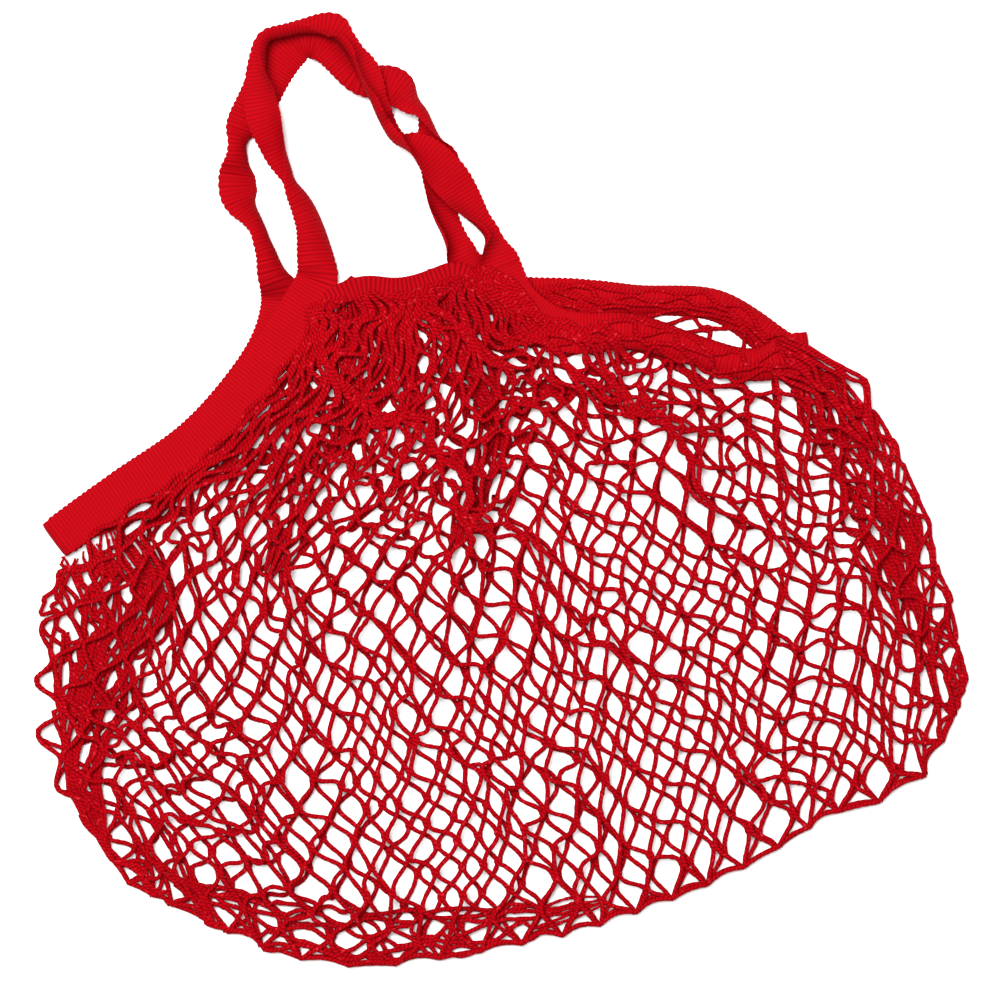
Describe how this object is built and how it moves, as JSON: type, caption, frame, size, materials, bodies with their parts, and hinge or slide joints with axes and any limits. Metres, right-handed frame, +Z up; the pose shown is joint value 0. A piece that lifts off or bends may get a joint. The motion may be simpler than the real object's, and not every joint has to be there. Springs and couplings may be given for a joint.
{
  "type": "string shopping bag",
  "caption": "String shopping bag lying flat: open diamond net body, gathered top bands, ribbed tapes round both side slits that run on as two carrying handles.",
  "frame": {"origin": "on the surface that the bag lies on, under the middle of its outline", "axes": "+X across the bag to its right side, +Y from the foot of the net towards the handles, +Z up, away from the surface"},
  "size_m": [0.5738, 0.5888, 0.0292],
  "materials": {
    "cotton_net": "dyed red twisted cotton yarn, matt and slightly hairy",
    "ribbed_tape": "dyed red ribbed cotton tape with looped edges, matt"
  },
  "bodies": {
    "root": {"net_front": "cotton_net", "net_back": "cotton_net", "net_edge": "cotton_net", "band_front": "ribbed_tape", "band_back": "ribbed_tape", "side_tape_left_front": "ribbed_tape", "side_tape_left_back": "ribbed_tape", "side_tape_right_front": "ribbed_tape", "side_tape_right_back": "ribbed_tape", "handle_front": "ribbed_tape", "handle_back": "ribbed_tape"}
  },
  "joints": []
}
